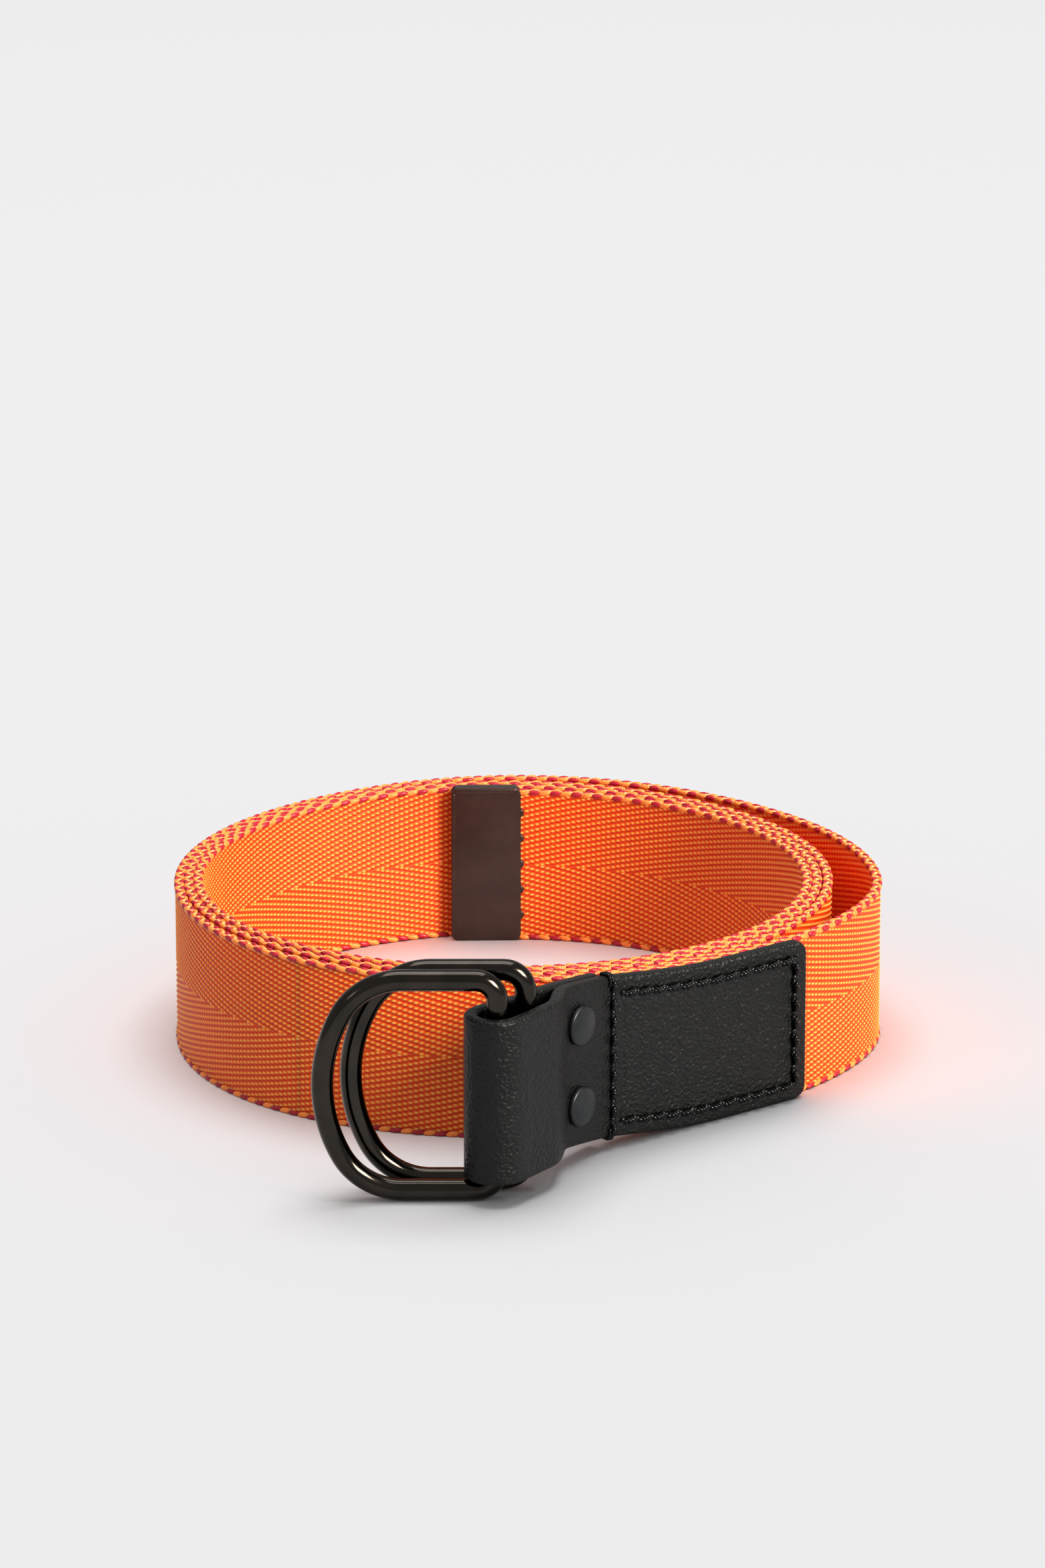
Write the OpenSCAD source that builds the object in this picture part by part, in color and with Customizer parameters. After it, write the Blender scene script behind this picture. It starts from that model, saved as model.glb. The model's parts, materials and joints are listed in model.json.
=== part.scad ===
// Coiled webbing belt with two D-rings, a folded leather tab and a metal tip clip.
// Millimetres, +Z up. The belt stands on the edge of its webbing, the tab to the front (-Y).

/* [Webbing] */
// Width of the webbing, which is its height as it stands on edge
web_w = 32; // [30:0.5:34]
// Thickness of the webbing
web_t = 1.5; // [1.2:0.1:1.5]
// Half the width of the hollow inside the coil, left to right
hollow_a = 59.2; // [57:0.2:61]
// Half the depth of the hollow inside the coil, front to back
hollow_b = 56.7; // [55:0.1:58]

/* [Leather tab] */
// Thickness of one layer of leather
leather_t = 2.6; // [2.2:0.1:2.7]
// Length of the patch sewn on the webbing, from cross seam to rounded end
patch_l = 49; // [45:1:52]
// Turn of the patch from the left-right direction
patch_yaw = 38.5; // [38:0.5:39]
// Turn of the folded tail from the left-right direction
tail_yaw = 53; // [52:0.5:54]
// Corner radius of the patch's free end
patch_corner = 3; // [2:0.5:4]
// Height of the tab's lower edge above the floor at the fold
tab_lift = 4.5; // [4.4:0.1:4.8]

/* [Rings] */
// Diameter of the ring wire
wire_d = 4.1; // [3.9:0.1:4.2]
// Outer height of a ring, along its straight bar
ring_h = 45; // [44:0.5:46]
// Outer reach of a ring, from the back of the bar to the tip of the bow
ring_w = 36.5; // [36:0.5:38]

/* [Rivets] */
// Diameter of a rivet cap
cap_d = 7.8; // [7:0.2:8]
// Height of a rivet cap above the leather
cap_h = 1.5; // [1.2:0.1:1.8]
// Diameter of a rivet post
post_d = 3; // [2.6:0.2:3.4]

/* [Tip clip] */
// Width of the tip clip along the webbing
clip_w = 14.2; // [13:0.2:15]
// Thickness of the clip's sheet metal
clip_t = 0.5; // [0.4:0.1:0.6]

/* [Stitching] */
// Thickness of the sewing thread
thread_d = 0.8; // [0.6:0.1:0.9]
// Distance from one needle hole to the next
stitch_l = 3.4; // [3.2:0.1:3.6]

/* [Hidden] */
$fn = 48;

// The origin is under the middle of the whole belt; the coil's own centre is here
coil_x = -6.1;
coil_y = 17.2;
// The hollow's centre lies a little off the coil's centre
hollow_x = 1.1;
hollow_y = 1.1;
// Half the webbing's thickness at its selvedges, where neighbouring turns touch
selvedge_half = 0.8;

// How far the webbing's middle lies outside the innermost turn, at every eighth of a turn
turn_out = [0, 0, 0, 0, 0, 0, 0, 0.7,
            3.1, 2.4, 1.9, 2.2, 2.9, 2.7, 1.8, 2.7,
            5.6, 4.6, 4.0, 4.6, 6.2, 5.9, 3.6, 4.6,
            9.2, 10.2, 13.6];
last_knot = len(turn_out) - 1;
loose_start = last_knot / 8;

function smooth(t) = let(u = min(max(t, 0), 1)) u * u * (3 - 2 * u);
function unit(v) = v / norm(v);
function knot(k) = turn_out[min(max(k, 0), last_knot)];
function blend(a, b, ta, tb, t) =
    (2 * t * t * t - 3 * t * t + 1) * a + (t * t * t - 2 * t * t + t) * ta
    + (3 * t * t - 2 * t * t * t) * b + (t * t * t - t * t) * tb;
function out_at(u) =
    let(k = min(floor(u * 8), last_knot - 1), t = u * 8 - k)
    blend(knot(k), knot(k + 1), (knot(k + 1) - knot(k - 1)) / 2, (knot(k + 2) - knot(k)) / 2, t);
function coil_point(u) =
    [hollow_x + (hollow_a + selvedge_half + out_at(u)) * sin(360 * u),
     hollow_y + (hollow_b + selvedge_half + out_at(u)) * cos(360 * u)];

// Patch and tail directions, seen from above, and their outward (front) normals
patch_dir = [cos(patch_yaw), sin(patch_yaw)];
patch_out = [sin(patch_yaw), -cos(patch_yaw)];
tail_dir = [-cos(tail_yaw), -sin(tail_yaw)];
tail_out = [sin(tail_yaw), -cos(tail_yaw)];
seam_front = [21.4, -70.2];
patch_back = seam_front - leather_t * patch_out;
web_seam = patch_back - (web_t / 2 + 0.02) * patch_out;
web_patch_end = web_seam + patch_l * patch_dir;
tail_base = seam_front - leather_t * (patch_out + tail_out) / 2;

function bezier(a, b, c, d, t) =
    pow(1 - t, 3) * a + 3 * pow(1 - t, 2) * t * b + 3 * (1 - t) * t * t * c + t * t * t * d;
loose_a = coil_point(loose_start);
loose_b = loose_a + [0.8, -14];
loose_c = web_patch_end + 13 * [cos(46), sin(46)];

// The tab and the end of the webbing rise off the floor, because the rings stand on it
function lift_at(d) = tab_lift * smooth((d - 20) / 54);

// The free end, under the clip, runs straight on from the first turn
clip_root = coil_point(5 / 360);
clip_dir = unit([-1, -0.02]);
tip_length = 15.6;
clip_gap = 0.05;
web_path = concat(
    [clip_root + tip_length * clip_dir, clip_root + tip_length / 2 * clip_dir],
    [for (i = [1:floor(loose_start * 72)]) coil_point(i / 72)],
    [for (i = [1:14]) bezier(loose_a, loose_b, loose_c, web_patch_end, i / 14)],
    [for (i = [1:10]) web_patch_end - (patch_l - 0.8) * i / 10 * patch_dir]);
web_rise = [for (i = [0:len(web_path) - 1])
    let(k = i - (len(web_path) - 11)) k > 0 ? lift_at((patch_l - 0.8) * k / 10) : 0];

// Middle line of the leather in the tail's own axes: distance from the seam, offset to the front
fold_at = [34.4, 1.6];
fold_r = 4.8;
half_t = leather_t / 2;
mid_t = half_t + 0.03;
// Half the thickness of the tail's two layers together
tail_half = mid_t + half_t;
tail_line = concat(
    [for (a = [2:2:14]) [a, mid_t]],
    [for (i = [1:8]) [14 + i * 1.2, mid_t + 4.9 * smooth(i / 8)]],
    [for (a = [27:3.5:34]) [a, 6.2 + 0.02 * (a - 24)]],
    [for (i = [0:11]) fold_at + fold_r * [sin(i * 180 / 11), cos(i * 180 / 11)]],
    [for (i = [1:6]) [34.4 - i * 1.8, -3.2 + 1.9 * smooth(i / 6)]],
    [for (a = [21:-4:1]) [a, -mid_t]],
    [[0.4, -mid_t]]);
function tail_point(p) = tail_base + p[0] * tail_dir + p[1] * tail_out;
patch_end_mid = patch_back + half_t * patch_out + patch_l * patch_dir;
tab_path = concat(
    [for (i = [0:12]) patch_end_mid - patch_l * i / 12 * patch_dir],
    [for (p = tail_line) tail_point(p)]);
tab_rise = concat(
    [for (i = [0:12]) lift_at(patch_l * i / 12)],
    [for (p = tail_line) lift_at(patch_l + p[0])]);

// Ring bars inside the fold, in the tail's axes
front_bar = tail_point([34.7, 2.1]);
rear_bar = tail_point([26.6, 2.5]);
rivet_at = 9.8;
rivet_edge = 8;

function heading(path, i) =
    let(a = path[max(i - 1, 0)], b = path[min(i + 1, len(path) - 1)]) unit(b - a);
function side(path, i) = let(h = heading(path, i)) [-h[1], h[0]];

// A flat band standing on edge, swept along a path seen from above
module band(path, rise, thick, tall) {
    n = len(path);
    points = [for (i = [0:n - 1]) let(s = side(path, i) * thick / 2, p = path[i], z = rise[i])
        each [[p[0] + s[0], p[1] + s[1], z], [p[0] - s[0], p[1] - s[1], z],
              [p[0] - s[0], p[1] - s[1], z + tall], [p[0] + s[0], p[1] + s[1], z + tall]]];
    walls = [for (i = [0:n - 2]) for (j = [0:3])
        [4 * i + j, 4 * i + (j + 1) % 4, 4 * i + 4 + (j + 1) % 4, 4 * i + 4 + j]];
    polyhedron(points, concat([[3, 2, 1, 0]], walls,
        [[4 * n - 4, 4 * n - 3, 4 * n - 2, 4 * n - 1]]));
}

module place() {
    translate([coil_x, coil_y, 0]) children();
}

// Stands a child drawn along +Z on the tail, pointing out of its front face
module on_tail(a, z, out) {
    p = tail_point([a, out]);
    translate([p[0], p[1], z]) rotate([0, 0, tail_yaw]) rotate([90, 0, 0]) children();
}

module webbing() {
    color("darkorange") place() band(web_path, web_rise, web_t, web_w);
}

module tip_clip() {
    wide = web_t + 2 * (clip_t + clip_gap);
    start = clip_root + (tip_length + clip_gap + 0.25) * clip_dir;
    color([0.24, 0.19, 0.17]) place()
        translate([start[0], start[1], 0])
        rotate([0, 0, atan2(-clip_dir[1], -clip_dir[0])])
        difference() {
            translate([0, -wide / 2, 0]) cube([clip_w, wide, web_w + 0.7]);
            translate([0.25, -web_t / 2 - clip_gap, -1])
                cube([clip_w, web_t + 2 * clip_gap, web_w + 1.05]);
        }
}

module leather_tab() {
    color([0.13, 0.13, 0.14]) place() difference() {
        band(tab_path, tab_rise, leather_t, web_w);
        for (z = [rivet_edge, web_w - rivet_edge])
            on_tail(rivet_at, lift_at(patch_l + rivet_at) + z, -tail_half - 1)
                cylinder(h = 2 * tail_half + 2, d = post_d + 0.1);
        patch_corner_cut(0);
        patch_corner_cut(1);
    }
}

// Rounds the upper (1) or lower (0) corner of the patch's free end
module patch_corner_cut(top) {
    p = patch_end_mid - patch_corner * patch_dir;
    translate([p[0], p[1], top ? web_w - patch_corner : patch_corner])
        rotate([0, 0, patch_yaw]) rotate([90, 0, 0]) mirror([0, top ? 0 : 1, 0])
        translate([0, 0, -leather_t]) difference() {
            cube([patch_corner + 1, patch_corner + 1, 2 * leather_t]);
            translate([0, 0, -1]) cylinder(h = 2 * leather_t + 2, r = patch_corner);
        }
}

// Centre line of a D-ring in the XZ plane: straight bar on the Z axis, two short legs, and a
// flattened bow towards -X made of two shoulder bends and a wider middle bend
corner_r = 4;
shoulder_r = 13;
shoulder_turn = 62;
wire_sides = 16;
wire_reach = wire_d / 2 / cos(180 / wire_sides / 2);
ring_half = ring_h / 2 - wire_reach;
bow_tip = wire_d - ring_w;
bow_r = (ring_half - shoulder_r * (1 - cos(shoulder_turn))) / cos(shoulder_turn);
leg_end = bow_tip + bow_r * (1 - sin(shoulder_turn)) + shoulder_r * sin(shoulder_turn);
function arc(cx, cz, r, from, to, n) =
    [for (i = [0:n]) let(a = from + (to - from) * i / n) [cx + r * cos(a), cz + r * sin(a)]];
upper_ring = concat(
    arc(-corner_r, ring_half - corner_r, corner_r, 0, 90, 6),
    arc(leg_end, ring_half - shoulder_r, shoulder_r, 90, 90 + shoulder_turn, 7),
    arc(bow_tip + bow_r, 0, bow_r, 96 + shoulder_turn, 174, 2));
ring_line = concat(upper_ring, [[bow_tip, 0]],
    [for (i = [len(upper_ring) - 1:-1:0]) [upper_ring[i][0], -upper_ring[i][1]]]);

// The wire as one closed tube swept round that line
module d_ring() {
    n = len(ring_line);
    points = [for (i = [0:n - 1])
        let(p = ring_line[i], h = unit(ring_line[(i + 1) % n] - ring_line[(i + n - 1) % n]))
        for (j = [0:wire_sides - 1]) let(a = 360 * j / wire_sides)
            [p[0] - h[1] * wire_reach * cos(a), wire_reach * sin(a),
             p[1] + h[0] * wire_reach * cos(a)]];
    faces = [for (i = [0:n - 1]) for (j = [0:wire_sides - 1])
        let(k = (i + 1) % n, l = (j + 1) % wire_sides)
        [i * wire_sides + j, k * wire_sides + j, k * wire_sides + l, i * wire_sides + l]];
    translate([0, 0, ring_h / 2]) polyhedron(points, faces);
}

module front_ring() {
    color([0.16, 0.16, 0.15]) place() translate([front_bar[0], front_bar[1], 0]) d_ring();
}

module rear_ring() {
    color([0.16, 0.16, 0.15]) place() translate([rear_bar[0], rear_bar[1], 0]) d_ring();
}

// Domed cap on the tab's front, with the tube that the post is driven into
module rivet_cap(z) {
    color([0.17, 0.18, 0.19]) place()
        on_tail(rivet_at, lift_at(patch_l + rivet_at) + z, tail_half)
        rotate_extrude() polygon(concat([[0, 0], [cap_d / 2, 0], [cap_d / 2, 0.5]],
            [for (a = [15:15:90]) [cap_d / 2 * cos(a), 0.5 + (cap_h - 0.5) * sin(a)]]));
}

// Flat back cap and post, seen only behind the tab
module rivet_post(z) {
    color([0.17, 0.18, 0.19]) place()
        on_tail(rivet_at, lift_at(patch_l + rivet_at) + z, -tail_half) {
            cylinder(h = 2 * tail_half, d = post_d);
            translate([0, 0, -0.7]) cylinder(h = 0.7, d = cap_d - 1);
        }
}

// One stitch: a short round thread lying on a face, along +X from the origin
module stitch(l) {
    rotate([0, 90, 0]) cylinder(h = l - 0.5, d = thread_d, $fn = 16);
}

// The sewn line round the patch, on the face that lies `out` in front of the patch's back
module patch_stitches(out) {
    edge = 3.3;
    run = patch_l - 2 * edge;
    rows = round(run / stitch_l);
    cols = round((web_w - 2 * edge) / stitch_l);
    step = run / rows;
    rise = (web_w - 2 * edge) / cols;
    p = patch_back + out * patch_out;
    for (i = [0:rows - 1]) for (z = [edge, web_w - edge]) {
        d = edge + i * step;
        q = p + d * patch_dir;
        low = lift_at(patch_l - d);
        high = lift_at(patch_l - d - step);
        translate([q[0], q[1], z + low]) rotate([0, 0, patch_yaw])
            rotate([0, atan2(low - high, step), 0]) translate([0.25, 0, 0]) stitch(step);
    }
    q = p + (patch_l - edge) * patch_dir;
    for (i = [0:cols - 1])
        translate([q[0], q[1], edge + i * rise + 0.25]) rotate([0, -90, 0]) stitch(rise);
}

module patch_needle_thread() {
    color([0.06, 0.06, 0.06]) place() patch_stitches(leather_t + thread_d / 2 + 0.02);
}

module patch_bobbin_thread() {
    color([0.06, 0.06, 0.06]) place() patch_stitches(-web_t - 0.04 - thread_d / 2 - 0.02);
}

// The seam across the tab, from edge to edge
module seam_needle_thread() {
    count = round(web_w / stitch_l);
    rise = web_w / count;
    p = patch_back + (leather_t + thread_d / 2 + 0.25) * patch_out + 0.6 * patch_dir;
    color([0.06, 0.06, 0.06]) place() for (i = [0:count - 1])
        translate([p[0], p[1], lift_at(patch_l) + i * rise + 0.25]) rotate([0, -90, 0])
            stitch(rise);
}

webbing();
tip_clip();
leather_tab();
front_ring();
rear_ring();
rivet_cap(web_w - rivet_edge);  // upper_rivet_cap
rivet_cap(rivet_edge);  // lower_rivet_cap
rivet_post(web_w - rivet_edge);  // upper_rivet_post
rivet_post(rivet_edge);  // lower_rivet_post
patch_needle_thread();
patch_bobbin_thread();
seam_needle_thread();
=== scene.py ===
"""Looks of a coiled webbing belt with two D-rings, a folded leather tab and a metal tip clip.

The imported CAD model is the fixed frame. Each class below builds and dresses one sub-assembly in it.
Routes and outlines are in millimetres, as the CAD's are, and meshes are in metres.
"""

import json
import logging
import math
from dataclasses import dataclass
from enum import Enum
from typing import Callable, Iterable

import bmesh
import bpy
import numpy as np
from mathutils import Matrix, Vector


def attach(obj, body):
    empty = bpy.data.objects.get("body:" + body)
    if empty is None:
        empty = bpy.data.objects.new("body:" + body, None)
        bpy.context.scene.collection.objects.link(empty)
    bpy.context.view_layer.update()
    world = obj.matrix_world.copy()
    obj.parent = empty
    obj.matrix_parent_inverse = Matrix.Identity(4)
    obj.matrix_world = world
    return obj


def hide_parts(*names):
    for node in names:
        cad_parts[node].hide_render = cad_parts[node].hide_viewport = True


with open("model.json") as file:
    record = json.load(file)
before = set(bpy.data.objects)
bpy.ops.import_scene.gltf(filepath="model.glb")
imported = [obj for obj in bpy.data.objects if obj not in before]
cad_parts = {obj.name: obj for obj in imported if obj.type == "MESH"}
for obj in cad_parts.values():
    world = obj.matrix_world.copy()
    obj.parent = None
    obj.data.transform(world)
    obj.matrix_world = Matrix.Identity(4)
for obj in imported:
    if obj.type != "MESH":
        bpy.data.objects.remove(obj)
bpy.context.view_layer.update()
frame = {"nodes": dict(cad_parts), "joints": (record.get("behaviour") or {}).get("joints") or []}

log = logging.getLogger("belt")
MM = 0.001
WEB_HEIGHT = 32.0
COIL_AT = np.array([-6.1, 17.2])
Tree = bpy.types.NodeTree
Node = bpy.types.Node
Inputs = dict[str, object] | Iterable[object]
Stops = tuple[tuple[float, str], ...]
Triple = tuple[float, float, float]
Grid = Callable[[np.ndarray, np.ndarray], tuple[np.ndarray, np.ndarray]]


# ---------------------------------------------------------------- small helpers


def linear(colour: str) -> tuple[float, float, float, float]:
    """Turns an sRGB hex colour into the linear colour that a shader socket takes.

    Args:
        colour: Six hex digits, such as "e8702a".

    Returns:
        Red, green, blue and alpha.
    """
    values = [int(colour[i : i + 2], 16) / 255 for i in (0, 2, 4)]
    red, green, blue = [v / 12.92 if v <= 0.04045 else ((v + 0.055) / 1.055) ** 2.4 for v in values]
    return (red, green, blue, 1.0)


def join(tree: Tree, node: Node, inputs: Inputs) -> None:
    """Sets and links a node's inputs.

    Args:
        tree: The node tree that holds the node.
        node: The node that takes the inputs.
        inputs: Values by the inputs' names, or in their order. An output socket is linked, and
            another node stands for its first output.
    """
    pairs = inputs.items() if isinstance(inputs, dict) else enumerate(inputs)
    for key, value in pairs:
        if isinstance(value, bpy.types.Node):
            value = value.outputs[0]
        if isinstance(value, bpy.types.NodeSocket):
            tree.links.new(value, node.inputs[key])
        else:
            node.inputs[key].default_value = value


def add(tree: Tree, kind: str, inputs: Inputs = (), stops: Stops = (), **settings: object) -> Node:
    """Adds a node with its settings, values and links.

    Args:
        tree: The node tree that takes the node.
        kind: The node's type name after "ShaderNode".
        inputs: The node's inputs, as join takes them.
        stops: A colour ramp's places and sRGB hex colours, in order.
        settings: The node's own properties.

    Returns:
        The new node.
    """
    made = tree.nodes.new(f"ShaderNode{kind}")
    for name, value in settings.items():
        setattr(made, name, value)
    join(tree, made, inputs)
    if stops:
        band = made.color_ramp.elements
        while len(band) < len(stops):
            band.new(0.5)
        for element, (place, colour) in zip(band, stops):
            element.position = place
            element.color = linear(colour)
    return made


def new_material(name: str) -> tuple[bpy.types.Material, Tree, Node]:
    """Starts a material.

    Args:
        name: What the real material is, and how its surface was made.

    Returns:
        The material, its node tree and its Principled shader.
    """
    made = bpy.data.materials.new(name)
    made.use_nodes = True
    return made, made.node_tree, made.node_tree.nodes["Principled BSDF"]


def smooth(t: np.ndarray | float) -> np.ndarray | float:
    """Eases from 0 to 1, level at both ends."""
    u = np.clip(t, 0, 1)
    return u * u * (3 - 2 * u)


def finished(
    name: str, mesh: bpy.types.Mesh, material: bpy.types.Material, body: str
) -> bpy.types.Object:
    """Makes a mesh a smooth-shaded piece that rides on a body.

    Args:
        name: The piece's name.
        mesh: Its mesh, in the row frame.
        material: Its finish.
        body: The CAD body that it moves with.

    Returns:
        The new object.
    """
    mesh.name = name
    mesh.materials.append(material)
    mesh.polygons.foreach_set("use_smooth", np.ones(len(mesh.polygons), bool))
    made = bpy.data.objects.new(name, mesh)
    bpy.context.scene.collection.objects.link(made)
    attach(made, body)
    log.info("%s: %d faces on %s", name, len(mesh.polygons), body)
    return made


def mesh_of(shape: bmesh.types.BMesh) -> bpy.types.Mesh:
    """Turns a bmesh into a mesh and frees it."""
    mesh = bpy.data.meshes.new("piece")
    shape.to_mesh(mesh)
    shape.free()
    return mesh


def bent_sheet(place: Grid, wide: int, tall: int) -> bpy.types.Mesh:
    """Bends a flat grid into a closed band: its rows go once round the band's section.

    Args:
        place: Given each point's column number and row number, gives its place and its UV, in
            millimetres.
        wide: Columns of points along the band.
        tall: Rows of points round the section, of which the last meets the first.

    Returns:
        The band's mesh, with its ends closed.
    """
    shape = bmesh.new()
    shape.loops.layers.uv.new("weave")
    bmesh.ops.create_grid(shape, x_segments=wide - 1, y_segments=tall - 1, size=1)
    mesh = mesh_of(shape)
    flat = np.empty(len(mesh.vertices) * 3)
    mesh.vertices.foreach_get("co", flat)
    flat = flat.reshape(-1, 3)
    column = np.rint((flat[:, 0] + 1) / 2 * (wide - 1)).astype(int)
    row = np.rint((flat[:, 1] + 1) / 2 * (tall - 1)).astype(int)
    where, pattern = place(column, row)
    mesh.vertices.foreach_set("co", (where * MM).ravel())
    corner = np.empty(len(mesh.loops), int)
    mesh.loops.foreach_get("vertex_index", corner)
    mesh.uv_layers["weave"].data.foreach_set("uv", pattern[corner].ravel())
    shape = bmesh.new()
    shape.from_mesh(mesh)
    bpy.data.meshes.remove(mesh)
    bmesh.ops.remove_doubles(shape, verts=shape.verts, dist=1e-6)
    bmesh.ops.holes_fill(shape, edges=[e for e in shape.edges if e.is_boundary], sides=0)
    bmesh.ops.recalc_face_normals(shape, faces=shape.faces)
    return mesh_of(shape)


def repeated(template: bpy.types.Mesh, places: Iterable[Matrix]) -> bpy.types.Mesh:
    """Joins copies of one small mesh, each at its own place, into one mesh.

    Args:
        template: The mesh to repeat, in millimetres.
        places: One matrix for each copy, in millimetres.

    Returns:
        The joined mesh, in metres.
    """
    base = np.empty(len(template.vertices) * 3)
    template.vertices.foreach_get("co", base)
    base = base.reshape(-1, 3)
    shape = bmesh.new()
    for place in places:
        turn = np.array(place)
        template.vertices.foreach_set("co", ((base @ turn[:3, :3].T + turn[:3, 3]) * MM).ravel())
        shape.from_mesh(template)
    bpy.data.meshes.remove(template)
    return mesh_of(shape)


def basis(x: Iterable[float], y: Iterable[float], z: Iterable[float], at: Iterable[float]) -> Matrix:
    """Makes a placing matrix.

    Args:
        x: Direction of its X axis.
        y: Direction of its Y axis.
        z: Direction of its Z axis.
        at: Where its origin goes.

    Returns:
        The matrix.
    """
    made = Matrix.Identity(4)
    for i, column in enumerate((x, y, z, at)):
        for j, value in enumerate(column):
            made[j][i] = value
    return made


def ball(size: Triple, around: int = 8, along: int = 5) -> bpy.types.Mesh:
    """Makes a small closed lens whose poles are on X.

    Args:
        size: Its half sizes.
        around: Faces round it.
        along: Faces from pole to pole.

    Returns:
        The lens's mesh, centred on the origin.
    """
    shape = bmesh.new()
    bmesh.ops.create_uvsphere(shape, u_segments=around, v_segments=along, radius=1)
    bmesh.ops.rotate(shape, verts=shape.verts, matrix=Matrix.Rotation(math.pi / 2, 3, "Y"))
    bmesh.ops.scale(shape, verts=shape.verts, vec=size)
    return mesh_of(shape)


def tube(line: np.ndarray, radius: float, sides: int, closed: bool, up: Vector) -> bmesh.types.BMesh:
    """Sweeps a circle along a line by bridging one circle to the next.

    Args:
        line: The points of the line.
        radius: The tube's radius, in the line's unit.
        sides: Points round the circle.
        closed: Whether the line's end meets its start.
        up: A direction that the line never runs along.

    Returns:
        The tube, closed at its ends.
    """
    shape = bmesh.new()
    loops = []
    count = len(line)
    for i in range(count):
        before = line[(i - 1) % count] if closed else line[max(i - 1, 0)]
        after = line[(i + 1) % count] if closed else line[min(i + 1, count - 1)]
        z = Vector(after - before).normalized()
        x = up.cross(z).normalized()
        matrix = basis(x, z.cross(x), z, line[i])
        ends = not closed and i in (0, count - 1)
        made = bmesh.ops.create_circle(shape, cap_ends=ends, segments=sides, radius=radius, matrix=matrix)
        loops.append(list({e for v in made["verts"] for e in v.link_edges}))
    pairs = zip(loops, loops[1:] + ([loops[0]] if closed else []))
    for one, other in pairs:
        bmesh.ops.bridge_loops(shape, edges=one + other)
    bmesh.ops.recalc_face_normals(shape, faces=shape.faces)
    return shape


# ---------------------------------------------------------------- finishes


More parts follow.
